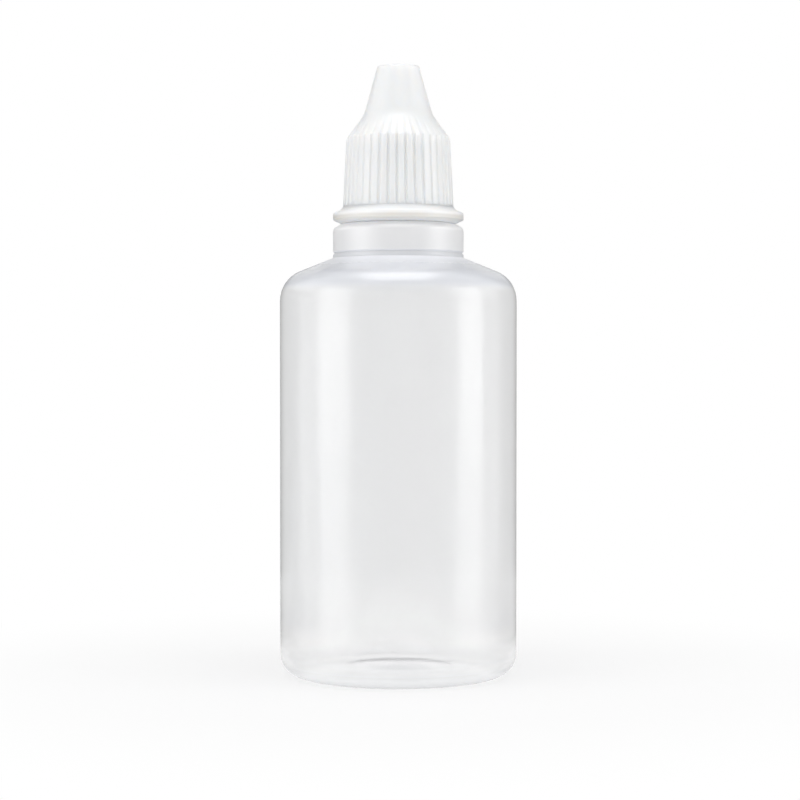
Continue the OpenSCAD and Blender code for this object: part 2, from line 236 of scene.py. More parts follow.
# Studio: floor and shadow in millimetres, the rest in metres
FLOOR_REACH = 3.0
FLOOR_WHITE = (0.92, 0.92, 0.92, 1)
SHADOW_NEAR = 22
SHADOW_FAR = 90
SHADOW_SHARE = 0.72
# Painted pool of light on the floor under the bottle
PAINTED_POOL_IN_R = 13.5
PAINTED_POOL_OUT_R = 16.5
PAINTED_POOL_SHARE = 0.25
LAMP_AIM = 0.045
ABOVE_FLOOR = 0.0005
FLAG_PARTS = 8

# Camera, fitted to the photo's outline
PICTURE = 800
FOCAL_PIXELS = 2139
SENSOR_W = 36
CAMERA_PLACE = (0.25, -317, 47.09)
CAMERA_TILT = 1.146


class Wire:
    """An output of a node, so that a sum or product of outputs reads as plain maths."""

    def __init__(self, graph, socket):
        self.graph = graph
        self.socket = socket

    def maths(self, operation, first, second=0.0):
        values = {"Value": first, "Value_001": second}
        return self.graph.add("ShaderNodeMath", {"operation": operation}, values)

    def __add__(self, other):
        return self.maths("ADD", self, other)

    def __radd__(self, other):
        return self.maths("ADD", other, self)

    def __sub__(self, other):
        return self.maths("SUBTRACT", self, other)

    def __rsub__(self, other):
        return self.maths("SUBTRACT", other, self)

    def __mul__(self, other):
        return self.maths("MULTIPLY", self, other)

    def __truediv__(self, other):
        return self.maths("DIVIDE", self, other)

    def __abs__(self):
        return self.maths("ABSOLUTE", self)

    def lowest(self, other):
        return self.maths("MINIMUM", self, other)

    def highest(self, other):
        return self.maths("MAXIMUM", self, other)

    def power(self, exponent):
        return self.maths("POWER", self, exponent)

    def root(self):
        return self.maths("SQRT", self)

    def fraction(self):
        return self.maths("FRACT", self)

    def sine(self):
        return self.maths("SINE", self)

    def cosine(self):
        return self.maths("COSINE", self)

    def angle_from(self, other):
        return self.maths("ARCTAN2", self, other)


class Graph:
    """A node tree of a material, the world or a shape."""

    def __init__(self, tree):
        self.tree = tree
        tree.nodes.clear()

    def add(self, kind, settings=None, values=None, output=0):
        """Adds a node with its settings and the values or links of its sockets, and returns one output."""
        node = self.tree.nodes.new(kind)
        for name, setting in (settings or {}).items():
            setattr(node, name, setting)
        for name, value in (values or {}).items():
            socket = self.find(node.inputs, name)
            if isinstance(value, Wire):
                self.tree.links.new(value.socket, socket)
            else:
                socket.default_value = value
        return Wire(self, self.find(node.outputs, output)) if node.outputs else node

    @staticmethod
    def find(sockets, name):
        """The socket at a place in the list, or with an identifier or a name."""
        if isinstance(name, int):
            return sockets[name]
        return next(socket for socket in sockets if name in (socket.identifier, socket.name))

    def part(self, vector, axis):
        """The X, Y or Z of a vector."""
        return self.add("ShaderNodeSeparateXYZ", None, {"Vector": vector}, axis)

    def vector(self, x, y, z):
        """A vector from its three parts."""
        return self.add("ShaderNodeCombineXYZ", None, {"X": x, "Y": y, "Z": z})

    def ramp(self, value, start, end, first, last):
        """A soft change from one number to another while a value goes from start to end."""
        return self.add("ShaderNodeMapRange", {"interpolation_type": "SMOOTHSTEP"}, {
            "Value": value, "From Min": start, "From Max": end, "To Min": first, "To Max": last,
        })

    def mixed(self, share, first, second):
        """A colour that goes from the first to the second with the share."""
        return self.add(
            "ShaderNodeMix", {"data_type": "RGBA"},
            {"Factor_Float": share, "A_Color": first, "B_Color": second}, "Result_Color"
        )

    def noise(self, place, scale, detail=2.0):
        """Soft random changes from 0 to 1."""
        values = {"Vector": place, "Scale": scale, "Detail": detail}
        return self.add("ShaderNodeTexNoise", None, values, "Fac")


def shape_graph(name, entries):
    """A new tree for a shape, with its named inputs, and the wires of these inputs by name."""
    tree = bpy.data.node_groups.new(name, "GeometryNodeTree")
    tree.interface.new_socket("Geometry", in_out="OUTPUT", socket_type="NodeSocketGeometry")
    for entry, kind in entries.items():
        tree.interface.new_socket(entry, in_out="INPUT", socket_type="NodeSocket" + kind)
    graph = Graph(tree)
    first = graph.add("NodeGroupInput")
    wires = {socket.name: Wire(graph, socket) for socket in first.socket.node.outputs if socket.name}
    return graph, wires


def end_shape(graph, geometry, material):
    """Real geometry with its material, at the end of every shape's tree."""
    real = graph.add("GeometryNodeRealizeInstances", None, {"Geometry": geometry})
    finished = graph.add("GeometryNodeSetMaterial", None, {"Geometry": real, "Material": material})
    graph.add("NodeGroupOutput", None, {"Geometry": finished})


def turned_section():
    """Tree that turns a half section round the axis and presses evenly spaced grooves into it."""
    graph, wires = shape_graph("turned_section", {
        "Section": "Geometry", "Segments": "Int", "Grooves": "Int", "Turn": "Float", "Gather": "Float",
        "Groove Width": "Float", "Floor Width": "Float", "Material": "Material",
    })
    grooves = wires["Grooves"]
    place = graph.add("GeometryNodeInputPosition")
    x = graph.part(place, "X")
    y = graph.part(place, "Y")
    z = graph.part(place, "Z")

    # The section is swept along a circle of this radius round the axis
    hub = 1 * MM
    section = graph.add("GeometryNodeMeshToCurve", None, {"Mesh": wires["Section"]})
    laid = graph.vector(x - hub, 0 - z, 0.0)
    section = graph.add("GeometryNodeSetPosition", None, {"Geometry": section, "Position": laid})
    path = graph.add(
        "GeometryNodeCurvePrimitiveCircle", {"mode": "RADIUS"},
        {"Resolution": wires["Segments"], "Radius": hub}
    )

    # The sweep's steps gather at the edges of the grooves
    share = graph.add("GeometryNodeInputIndex") / wires["Segments"]
    gathered = (share * grooves * math.tau * 2).sine() * wires["Gather"] / (grooves * 2)
    angle = share * math.tau + gathered
    round_place = graph.vector(angle.cosine() * hub, angle.sine() * hub, 0.0)
    path = graph.add("GeometryNodeSetPosition", None, {"Geometry": path, "Position": round_place})
    path = graph.add("GeometryNodeSetCurveNormal", {"mode": "Z_UP"}, {"Curve": path})
    skin = graph.add("GeometryNodeCurveToMesh", None, {"Curve": path, "Profile Curve": section})
    skin = graph.add("GeometryNodeMergeByDistance", None, {"Geometry": skin, "Distance": MERGE * MM})

    # Points near the middle of a groove move in by the depth that their place in the section carries
    radius = (x * x + y * y).root().highest(hub / 10)
    around = y.angle_from(x) / math.tau * grooves
    off_centre = abs((around + 0.5).fraction() - 0.5) * radius * math.tau / grooves
    pressed = graph.ramp(off_centre, wires["Floor Width"] / 2, wires["Groove Width"] / 2, 1.0, 0.0)
    depth = graph.add("GeometryNodeInputNamedAttribute", {"data_type": "FLOAT"}, {"Name": "groove"})
    inward = 0 - depth * pressed / radius
    move = graph.vector(x * inward, y * inward, 0.0)
    skin = graph.add("GeometryNodeSetPosition", None, {"Geometry": skin, "Offset": move})
    turn = graph.vector(0.0, 0.0, wires["Turn"])
    skin = graph.add("GeometryNodeTransform", None, {"Geometry": skin, "Rotation": turn})
    end_shape(graph, skin, wires["Material"])
    return graph.tree


def thread_run():
    """Tree that draws a thread's section along a right-hand helix, thinned out at both ends."""
    graph, wires = shape_graph("thread_run", {
        "Section": "Geometry", "Turns": "Float", "Lead": "Float", "Root Radius": "Float",
        "Start Height": "Float", "Start Turn": "Float", "Run Out": "Float", "Material": "Material",
    })
    path = graph.add("GeometryNodeCurveSpiral", None, {
        "Resolution": THREAD_STEPS, "Rotations": wires["Turns"], "Start Radius": wires["Root Radius"],
        "End Radius": wires["Root Radius"], "Height": wires["Turns"] * wires["Lead"],
    })
    path = graph.add("GeometryNodeSetCurveNormal", {"mode": "Z_UP"}, {"Curve": path})
    along = graph.add("GeometryNodeSplineParameter", None, None, "Factor")
    size = (along.lowest(1 - along) / wires["Run Out"]).lowest(1.0).highest(THREAD_LEAST)
    section = graph.add("GeometryNodeMeshToCurve", None, {"Mesh": wires["Section"]})
    thread = graph.add(
        "GeometryNodeCurveToMesh", None,
        {"Curve": path, "Profile Curve": section, "Scale": size, "Fill Caps": True}
    )
    lift = graph.vector(0.0, 0.0, wires["Start Height"])
    turn = graph.vector(0.0, 0.0, wires["Start Turn"])
    thread = graph.add(
        "GeometryNodeTransform", None, {"Geometry": thread, "Translation": lift, "Rotation": turn}
    )
    end_shape(graph, thread, wires["Material"])
    return graph.tree


def ring_of_pieces():
    """Tree that sets copies of one small piece round the axis, each turned to face outwards."""
    graph, wires = shape_graph("ring_of_pieces", {
        "Piece": "Geometry", "Count": "Int", "Radius": "Float", "Height": "Float", "Material": "Material",
    })
    path = graph.add(
        "GeometryNodeCurvePrimitiveCircle", {"mode": "RADIUS"},
        {"Resolution": wires["Count"], "Radius": wires["Radius"]}
    )
    spots = graph.add("GeometryNodeCurveToPoints", {"mode": "EVALUATED"}, {"Curve": path})
    angle = graph.add("GeometryNodeInputIndex") / wires["Count"] * math.tau
    turn = graph.vector(0.0, 0.0, angle)
    pieces = graph.add(
        "GeometryNodeInstanceOnPoints", None, {"Points": spots, "Instance": wires["Piece"], "Rotation": turn}
    )
    lift = graph.vector(0.0, 0.0, wires["Height"])
    pieces = graph.add("GeometryNodeTransform", None, {"Geometry": pieces, "Translation": lift})
    end_shape(graph, pieces, wires["Material"])
    return graph.tree


def rounded(corners, closed=False):
    """Points of a line through its corners, each given as (x, z, rounding), with an arc at each rounding."""
    points = []
    for i, (x, z, rounding) in enumerate(corners):
        corner = Vector((x, z))
        at_end = not closed and i in (0, len(corners) - 1)
        if at_end or rounding == 0:
            points.append(corner)
            continue
        back = (Vector(corners[i - 1][:2]) - corner).normalized()
        ahead = (Vector(corners[(i + 1) % len(corners)][:2]) - corner).normalized()
        half = back.angle(ahead) / 2
        centre = corner + (back + ahead).normalized() * rounding / math.sin(half)
        spoke = corner + back * rounding / math.tan(half) - centre
        turn = spoke.angle_signed(corner + ahead * rounding / math.tan(half) - centre)
        steps = max(2, math.ceil(abs(turn) / ARC_STEP))
        for k in range(steps + 1):
            points.append(centre + Matrix.Rotation(-turn * k / steps, 2) @ spoke)
    return points


def dome(rim_r, rim_z, rise):
    """Corners of a shallow dome's section, from the axis out to its rim."""
    sphere_r = (rim_r * rim_r + rise * rise) / (2 * rise)
    radii = [rim_r * k / DOME_PARTS for k in range(DOME_PARTS)]
    return [(r, rim_z + rise - sphere_r + math.sqrt(sphere_r * sphere_r - r * r), 0) for r in radii]


def section_mesh(name, points, closed=False, groove=None):
    """A line of points as a mesh, in metres, with the depth of the grooves at each point."""
    mesh = bpy.data.meshes.new(name)
    edges = [(i, i + 1) for i in range(len(points) - 1)]
    if closed:
        edges.append((len(points) - 1, 0))
    mesh.from_pydata([(p[0] * MM, 0, p[1] * MM) for p in points], edges, [])
    depths = mesh.attributes.new("groove", "FLOAT", "POINT")
    for i, p in enumerate(points):
        depths.data[i].value = groove(p[0], p[1]) * MM if groove else 0.0
    return mesh


def made_piece(name, source, tree, sizes, body, node):
    """Runs a tree on its source mesh, keeps the result as a plain closed mesh, and sets it on its body."""
    piece = bpy.data.objects.new(name, source)
    bpy.context.scene.collection.objects.link(piece)
    modifier = piece.modifiers.new("shape", "NODES")
    modifier.node_group = tree
    for item in tree.interface.items_tree:
        if item.in_out == "INPUT" and item.name in sizes:
            modifier[item.identifier] = sizes[item.name]
    bpy.context.view_layer.update()
    made = piece.evaluated_get(bpy.context.evaluated_depsgraph_get())
    mesh = bpy.data.meshes.new_from_object(made)
    piece.modifiers.clear()
    piece.data = mesh
    mesh.name = name
    face_outwards(mesh)
    mesh.shade_smooth()
    mesh.set_sharp_from_angle(angle=SHARP_ANGLE)
    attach(piece, body)
    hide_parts(node)
    return piece


def face_outwards(mesh):
    """Turns every face of a closed mesh outwards."""
    work = bmesh.new()
    work.from_mesh(mesh)
    bmesh.ops.recalc_face_normals(work, faces=work.faces)
    work.to_mesh(mesh)
    work.free()


def shoulder_z(radius, inset):
    """Height of the shoulder's slope at a radius, for a surface that lies inset inside the outer one."""
    end_r = SHOULDER_END_R - inset * math.sin(SHOULDER_ANGLE)
    end_z = SHOULDER_END_Z - inset * math.cos(SHOULDER_ANGLE)
    return end_z + (end_r - radius) * math.tan(SHOULDER_ANGLE)


def flare_r(z, inset):
    """Radius of the cap's flare at a height, moved in by the inset."""
    return SKIRT_TOP_R - (z - SKIRT_TOP) * FLARE - inset * math.hypot(1, FLARE)


def nose_r(z, inset):
    """Radius of the side of the cap's nose at a height, moved in by the inset."""
    return NOSE_TIP_R + (CAP_TOP - z) * NOSE - inset * math.hypot(1, NOSE)


def nose_meet(inset):
    """Corner where the flare and the side of the nose would meet."""
    z = (flare_r(0, inset) - nose_r(0, inset)) / (FLARE - NOSE)
    return flare_r(z, inset), z


def bottle_section():
    """Half section of the bottle: under the base, up the outside, over the lip and back down inside."""
    line_foot = COLLAR_Z + MOULD_LINE_UP
    line_top = line_foot + MOULD_LINE_W
    line_floor_r = COLLAR_R - MOULD_LINE_DEPTH
    corners = dome(DIMPLE_R, PANEL_Z, DIMPLE_RISE)
    corners += [
        (DIMPLE_R, PANEL_Z, 0),
        (PANEL_R, PANEL_Z, PANEL_EDGE),
        (PANEL_R + PANEL_STEP, BASE_RISE, PANEL_EDGE),
        (FOOT_IN_R, 0, 1.0),
        (BODY_R, 0, BASE_CORNER),
        (BODY_R, shoulder_z(BODY_R, 0), SHOULDER_CORNER),
        (COLLAR_R, COLLAR_Z, 0.15),
        (COLLAR_R, line_foot, 0.06),
        (line_floor_r, line_foot + MOULD_LINE_SLANT, 0.05),
        (line_floor_r, line_top - MOULD_LINE_SLANT, 0.05),
        (COLLAR_R, line_top, 0.06),
        (COLLAR_R, COLLAR_TOP - BEVEL_H, BEVEL_EDGE),
        (COLLAR_R - BEVEL_W, COLLAR_TOP, 0.12),
        (NECK_FOOT_R, COLLAR_TOP, 0.25),
        (NECK_FOOT_R, BEAD_Z, 0.06),
        (BEAD_R, BEAD_Z, 0.1),
        (BEAD_R, BEAD_Z + BEAD_EDGE, 0.15),
        (NECK_R, BEAD_TOP, 0.2),
        (NECK_R, NECK_TOP, 0.2),
        (BORE_R, NECK_TOP, 0.1),
        (BORE_R, COLLAR_TOP - WALL, 0.2),
        (HOLLOW_R, COLLAR_TOP - WALL, 0.5),
        (HOLLOW_R, shoulder_z(HOLLOW_R, WALL), 0.3),
        (BODY_R - WALL, shoulder_z(BODY_R - WALL, WALL), SHOULDER_CORNER - WALL),
        (BODY_R - WALL, WALL, BASE_CORNER - WALL),
        (FOOT_IN_R, WALL, 1.0),
        (PANEL_R + PANEL_STEP, BASE_RISE + WALL, PANEL_EDGE),
        (PANEL_R, PANEL_Z + WALL, PANEL_EDGE),
        (DIMPLE_R, PANEL_Z + WALL, 0),
    ]
    corners += reversed(dome(DIMPLE_R, PANEL_Z + WALL, DIMPLE_RISE))
    return section_mesh("bottle_section", rounded(corners))


def plug_section():
    """Half section of the dropper plug, as a closed loop round its wall."""
    orifice_foot = NOZZLE_TOP - ORIFICE_H
    bore_top_r = NOZZLE_TIP_R - PLUG_WALL
    corners = [
        (PLUG_R - PLUG_WALL / 2, PLUG_FOOT, 0.1),
        (PLUG_R, PLUG_FOOT + PLUG_LEAD_IN, 0.2),
        (PLUG_R, NECK_TOP, 0.05),
        (NECK_R, NECK_TOP, 0.1),
        (NECK_R, PLUG_FLANGE_TOP, 0.25),
        (NOZZLE_ROOT_R, PLUG_FLANGE_TOP, 0.25),
        (NOZZLE_WAIST_R, NOZZLE_WAIST_Z, 6),
        (NOZZLE_TIP_R, NOZZLE_TOP, 0.3),
        (ORIFICE_R, NOZZLE_TOP, 0.12),
        (ORIFICE_R, orifice_foot, 0.1),
        (bore_top_r, orifice_foot - (bore_top_r - ORIFICE_R), 0.2),
        (NOZZLE_WAIST_R - PLUG_WALL, NOZZLE_WAIST_Z - PLUG_WALL / 2, 0.5),
        (BORE_R - PLUG_WALL, NECK_TOP - PLUG_WALL / 2, 0.5),
        (BORE_R - PLUG_WALL, PLUG_FOOT, 0.1),
    ]
    return section_mesh("plug_section", rounded(corners, closed=True), closed=True)


def ring_section():
    """Half section of the tamper ring, as a closed loop, with a lip at the cap's foot that hides the slit."""
    corners = [
        (SNAP_R + SNAP_H / 3, RING_Z_SEEN, 0.08),
        (COLLAR_R - RING_FOOT_IN, RING_Z_SEEN, 0.06),
        (COLLAR_R, RING_Z + CONE_H, 0.2),
        (COLLAR_R, RING_Z + CONE_H + FLANGE_T, 0.35),
        (RIM_R + SLOPE_END_OUT, RING_TOP - RIM_H + SLOPE_END_UP, 0.8),
        (CAP_FOOT_R + LIP_OUT, CAP_Z + LIP_H, 0.02),
        (CAP_FOOT_R + LIP_GAP, CAP_Z + LIP_H, 0.02),
        (CAP_FOOT_R + LIP_GAP, RING_TOP_SEEN, 0.02),
        (RING_IN_R, RING_TOP_SEEN, 0.05),
        (RING_IN_R, RING_Z + SNAP_H + SNAP_SLOPE_H, 0.1),
        (SNAP_R, RING_Z + SNAP_H, 0.08),
        (SNAP_R, RING_Z + SNAP_H / 2, 0.08),
    ]
    return section_mesh("ring_section", rounded(corners, closed=True), closed=True)


def groove_depth(radius, z):
    """Depth of the cap's grooves, which run straight up, end on the flare and fade at the foot."""
    floor_r = CAP_FOOT_R - GROOVE_DEPTH - (z - CAP_Z) * SKIRT_TAPER
    on_skirt = radius > CAP_BORE_R + CAP_WALL / 2 and z > CAP_Z + SLIT_SEEN
    on_flare = z > SKIRT_TOP - FLARE_BEND_H and radius > floor_r
    if not (on_skirt or on_flare):
        return 0.0
    fade = min(1.0, max(GROOVE_LEAST, (z - CAP_Z) / RUN_OUT))
    return min(GROOVE_DEPTH, max(0.0, radius - floor_r)) * fade


def cap_section():
    """Half section of the cap: from the top down the outside, and up inside to the pin."""
    ledge_top = SKIRT_TOP + (flare_r(SKIRT_TOP, NOSE_WALL) - LEDGE_R) / FLARE
    corners = [
        (0, CAP_TOP - GATE_DEPTH, 0),
        (GATE_FLOOR_R, CAP_TOP - GATE_DEPTH, 0.1),
        (GATE_R, CAP_TOP, 0.1),
        (NOSE_TIP_R, CAP_TOP, 0.35),
        (*nose_meet(0), 5),
        (SKIRT_TOP_R, SKIRT_TOP, 0.8),
        (CAP_FOOT_R - RUN_OUT * SKIRT_TAPER, CAP_Z + RUN_OUT, 0),
        (CAP_FOOT_R - RUN_OUT / 3 * SKIRT_TAPER, CAP_Z + RUN_OUT / 3, 0),
        (CAP_FOOT_R, CAP_Z, 0.05),
        (RING_IN_R, CAP_Z, 0.1),
        (RING_IN_R, CAP_Z + MOUTH_H, 0.1),
        (CAP_BORE_R, CAP_Z + MOUTH_H + RING_IN_R - CAP_BORE_R, 0.1),
        (CAP_BORE_R, LEDGE_Z, 0.15),
        (LEDGE_R, LEDGE_Z, 0.15),
        (LEDGE_R, ledge_top, 0.3),
        (*nose_meet(NOSE_WALL), 4),
        (nose_r(NOSE_IN_TOP, NOSE_WALL), NOSE_IN_TOP, 0.3),
        (BOSS_R, NOSE_IN_TOP, 0.15),
        (BOSS_R, BOSS_Z, 0.15),
        (PIN_R, BOSS_Z, 0.05),
        (PIN_R, BOSS_Z - PIN_H, 0.12),
        (0, BOSS_Z - PIN_H, 0),
    ]
    return section_mesh("cap_section", rounded(corners), groove=groove_depth)


def thread_section(name, side):
    """Closed section of a thread in the XY plane: side 1 stands out of a wall, side -1 into a bore."""
    half_root = THREAD_ROOT_W / 2
    half_crest = THREAD_CREST_W / 2
    corners = [
        (-side * THREAD_SINK, -half_root, 0.02),
        (side * THREAD_DEPTH, -half_crest, 0.15),
        (side * THREAD_DEPTH, half_crest, 0.15),
        (-side * THREAD_SINK, half_root, 0.02),
    ]
    points = rounded(corners, closed=True)
    mesh = bpy.data.meshes.new(name)
    edges = [(i, (i + 1) % len(points)) for i in range(len(points))]
    mesh.from_pydata([(p[0] * MM, -p[1] * MM, 0) for p in points], edges, [])
    return mesh


def small_block(name, length, width, height, edge):
    """A little block with rounded edges, standing on the origin."""
    work = bmesh.new()
    bmesh.ops.create_cube(work, size=1)
    bmesh.ops.scale(work, verts=work.verts, vec=(length * MM, width * MM, height * MM))
    bmesh.ops.translate(work, verts=work.verts, vec=(0, 0, height * MM / 2))
    bmesh.ops.bevel(work, geom=work.edges[:], offset=edge * MM, segments=2, affect="EDGES")
    mesh = bpy.data.meshes.new(name)
    work.to_mesh(mesh)
    work.free()
    return mesh


def painted_light_and_shade(graph, height, colour, light_and_shade_bands):
    """A colour with painted light and shade, which changes to a lighter or darker tint in each band, given as
    (low, high, soft edge, tint) in millimetres.
    """
    for low, high, edge, painted_tint in light_and_shade_bands:
        off_middle = abs(height - (low + high) / 2 * MM)
        half = (high - low) / 2
        in_painted_band = graph.ramp(off_middle, (half - edge) * MM, half * MM, 1.0, 0.0)
        colour = graph.mixed(in_painted_band, colour, painted_tint)
    return colour


def see_through(graph, place, height, heel, wall, collar):
    """How solid the milky plastic is at each spot, and the share of the spot that lies on the collar.

    Heel, wall and collar each let a share of the light straight through, less where they are seen at a
    slant. Faces seen from inside are clear, so that only one skin of a wall veils what is behind it.
    """
    on_collar = graph.ramp(height, SHOULDER_END_Z * MM, COLLAR_Z * MM, 0.0, 1.0)
    share = graph.ramp(height, HEEL_CLEAR * MM, HEEL_END * MM, heel, wall) - on_collar * (wall - collar)
    slant = graph.add("ShaderNodeLayerWeight", None, {"Blend": 0.5}, "Facing")
    rise = graph.part(graph.add("ShaderNodeNewGeometry", None, None, "Normal"), "Z")

    # The rounded foot is denser, and the floor inside it gets clearer towards a low view
    near_base = graph.ramp(height, NEAR_BASE * MM, ABOVE_BASE * MM, 1.0, 0.0)
    share = share - near_base * (0 - rise).highest(0.0) * FOOT_DENSER
    level = near_base * ((rise - LEVEL_RISE) / (1 - LEVEL_RISE)).highest(0.0)
    share = share * (1 - level) + (slant * FLOOR_CLEARER + FLOOR_CLEAR) * level
    even = near_base + graph.ramp(height, SHOULDER_FLAT_Z * MM, SHOULDER_END_Z * MM, 0.0, SHOULDER_FLAT)
    straight = even + (1 - even) * (1 - slant).power(SLANT_POWER)

    # The underside of the dimple keeps a thin veil, which shows it from above, darkened by the base's painted
    # shade
    x = graph.part(place, "X")
    y = graph.part(place, "Y")
    radius = (x * x + y * y).root()
    below = graph.ramp(height, PANEL_TOP * MM, (PANEL_TOP + DIMPLE_VEIL_FADE) * MM, 1.0, 0.0)
    on_dimple = below * graph.ramp(radius, (DIMPLE_R - DIMPLE_VEIL_EDGE) * MM, DIMPLE_R * MM, 1.0, 0.0)
    veil = on_dimple * ((1 - slant - VEIL_START) * VEIL_GAIN).highest(0.0).lowest(VEIL_MOST)
    from_inside = graph.add("ShaderNodeNewGeometry", None, None, "Backfacing")
    solid = from_inside * veil + (1 - from_inside) * (1 - share * straight)
    return solid, on_collar


def plastic(
    name, settings, colours, streak_scale, grain_scale, grain_height, roughness, clear=None, light_and_shade_bands=()
):
    """Moulded plastic with faint flow streaks in its colour, uneven gloss, a fine grain and bands of painted
    light and shade.
    """
    material = bpy.data.materials.new(name)
    material.use_nodes = True
    graph = Graph(material.node_tree)
    place = graph.add("ShaderNodeTexCoord", None, None, "Object")
    height = graph.part(place, "Z")
    drawn_out = graph.add(
        "ShaderNodeVectorMath", {"operation": "MULTIPLY"},
        {"Vector": place, "Vector_001": (1.0, 1.0, STREAK_SQUEEZE)}
    )
    streaks = graph.noise(drawn_out, streak_scale, detail=3.0)
    grain = graph.noise(place, grain_scale)
    waves = graph.noise(drawn_out, streak_scale / 2)
    relief = grain * grain_height + waves * grain_height * WAVES_HIGHER
    bump = graph.add("ShaderNodeBump", None, {"Strength": 1.0, "Distance": 1.0, "Height": relief})
    colour = painted_light_and_shade(graph, height, graph.mixed(streaks, *colours), light_and_shade_bands)
    uneven = streaks * STREAK_GLOSS + grain * (1 - STREAK_GLOSS)
    gloss = roughness[0] + uneven * (roughness[1] - roughness[0])
    values = {"Base Color": colour, "Roughness": gloss, "Normal": bump}
    values.update(settings)
    if clear:
        values["Alpha"], on_collar = see_through(graph, place, height, *clear)
        values["Roughness"] = gloss + on_collar * COLLAR_DULLER
    shader = graph.add("ShaderNodeBsdfPrincipled", {"subsurface_method": "RANDOM_WALK"}, values)
    graph.add("ShaderNodeOutputMaterial", None, {"Surface": shader})
    return material


milky = plastic(
    "milky_bottle_plastic",
    {
        "IOR": 1.5, "Subsurface Weight": 1.0, "Subsurface Radius": (1.0, 1.0, 1.0),
        "Subsurface Scale": 0.5 * MM, "Specular IOR Level": 0.9,
    },
    colours=((0.905, 0.918, 0.985, 1), (0.925, 0.938, 1.0, 1)),
    streak_scale=90, grain_scale=1800, grain_height=0.002 * MM, roughness=(0.16, 0.23),
    clear=(0.79, 0.42, 0.12),
    light_and_shade_bands=(
        # Painted light and shade by height: a lighter heel, a darker base, shoulder and collar, and a painted
        # shadow at the mould line
        # Painted light: the heel lighter, as if lit by the floor
        (4.0, 9.0, 2.5, (0.965, 0.97, 1.0, 1)),
        # Painted shade low on the base and its underside, which shows through as the dimple's darker lens
        (-1, 1.95, 0.02, (0.86, 0.87, 0.89, 1)),
        # Painted shade on the shoulder's slope, taking down the top lamp's light
        (57.0, 61.8, 1.0, (0.80, 0.815, 0.85, 1)),
        # Painted shade: the collar darker and a more neutral grey
        (62.4, 66.3, 0.4, (0.875, 0.875, 0.88, 1)),
        # Painted shadow over the collar's foot and the mould-line groove, where the collar meets the shoulder
        (61.55, 62.65, 0.3, (0.74, 0.75, 0.77, 1)),
    )
)
natural = plastic(
    "natural_plug_plastic",
    {
        "IOR": 1.5, "Subsurface Weight": 0.8, "Subsurface Radius": (1.0, 1.0, 0.9),
        "Subsurface Scale": 1.5 * MM,
    },
    colours=((0.90, 0.90, 0.88, 1), (0.93, 0.93, 0.92, 1)),
    streak_scale=160, grain_scale=2400, grain_height=0.003 * MM, roughness=(0.40, 0.52)
)
white = plastic(
    "white_cap_plastic",
    {
        "IOR": 1.49, "Subsurface Weight": 0.8, "Subsurface Radius": (1.0, 0.9, 0.8),
        "Subsurface Scale": 2.0 * MM,
    },
    colours=((0.90, 0.90, 0.892, 1), (0.93, 0.93, 0.922, 1)),
    streak_scale=160, grain_scale=2600, grain_height=0.002 * MM, roughness=(0.30, 0.38),
    # Painted warm shade on the underside of the ring's flange, in the gap above the collar
    light_and_shade_bands=((66.9, 68.1, 0.45, (0.76, 0.745, 0.71, 1)),)
)

turn_tree = turned_section()
thread_tree = thread_run()
spread_tree = ring_of_pieces()


def turned_piece(name, section, segments, material, body, node, slot, **grooves):
    """A piece turned from its half section, with grooves where their sizes are given."""
    sizes = {
        "Segments": segments, "Grooves": 1, "Turn": 0.0, "Gather": 0.0, "Groove Width": 1 * MM,
        "Floor Width": 0.5 * MM, "Material": material,
    }
    sizes.update(grooves)
    return made_piece(name, section, turn_tree, sizes, body, node)


def thread_piece(name, side, turns, root_r, start_z, start_turn, material, body, node):
    """A thread on a wall or in a bore of the root radius."""
    sizes = {
        "Turns": turns, "Lead": LEAD * MM, "Root Radius": root_r * MM, "Start Height": start_z * MM,
        "Start Turn": start_turn, "Run Out": THREAD_RUN_OUT, "Material": material,
    }
    return made_piece(name, thread_section(name + "_section", side), thread_tree, sizes, body, node)


# The cap's thread starts where its flank rests a gap below the flank of the neck's thread
flank_slope = (THREAD_ROOT_W - THREAD_CREST_W) / 2 / (THREAD_DEPTH + THREAD_SINK)
thread_drop = THREAD_CREST_W + flank_slope * (THREAD_DEPTH - THREAD_CLEAR) + THREAD_GAP
cap_thread_turn = (CAP_THREAD_Z - NECK_THREAD_Z + thread_drop) / LEAD * math.tau

turned_piece(
    "bottle_shell", bottle_section(), BOTTLE_SIDES, milky, "bottle_body", "bottle", "bottle_plastic"
)
thread_piece(
    "neck_thread", 1, NECK_TURNS, NECK_R, NECK_THREAD_Z, 0.0, milky,
    "bottle_body", "bottle"
)
turned_piece(
    "dropper_plug_part", plug_section(), PLUG_SIDES, natural, "bottle_body", "dropper_plug", "plug_plastic"
)
turned_piece(
    "tamper_ring_part", ring_section(), RING_SIDES, white, "ring_body", "tamper_ring", "cap_plastic"
)
bridge_t = (CAP_FOOT_R - GROOVE_DEPTH - RING_IN_R) / 2
bridge_h = BRIDGE_ROOT + SLIT - BRIDGE_BREAK
made_piece(
    "ring_bridges", small_block("bridge", bridge_t, BRIDGE_W, bridge_h, BRIDGE_EDGE), spread_tree,
    {
        "Count": BRIDGES, "Radius": (RING_IN_R + bridge_t) * MM, "Height": (RING_TOP - BRIDGE_ROOT) * MM,
        "Material": white,
    },
    "ring_body", "tamper_ring"
)
turned_piece(
    "cap_shell", cap_section(), RIBS * SIDES_PER_RIB, white, "cap_body", "cap", "cap_plastic",
    **{
        "Grooves": RIBS, "Turn": RIB_TURN, "Gather": RIB_GATHER, "Groove Width": GROOVE_W * MM,
        "Floor Width": GROOVE_FLOOR_W * MM,
    }
)
thread_piece(
    "cap_thread", -1, CAP_TURNS, CAP_BORE_R, CAP_THREAD_Z, cap_thread_turn, white,
    "cap_body", "cap"
)


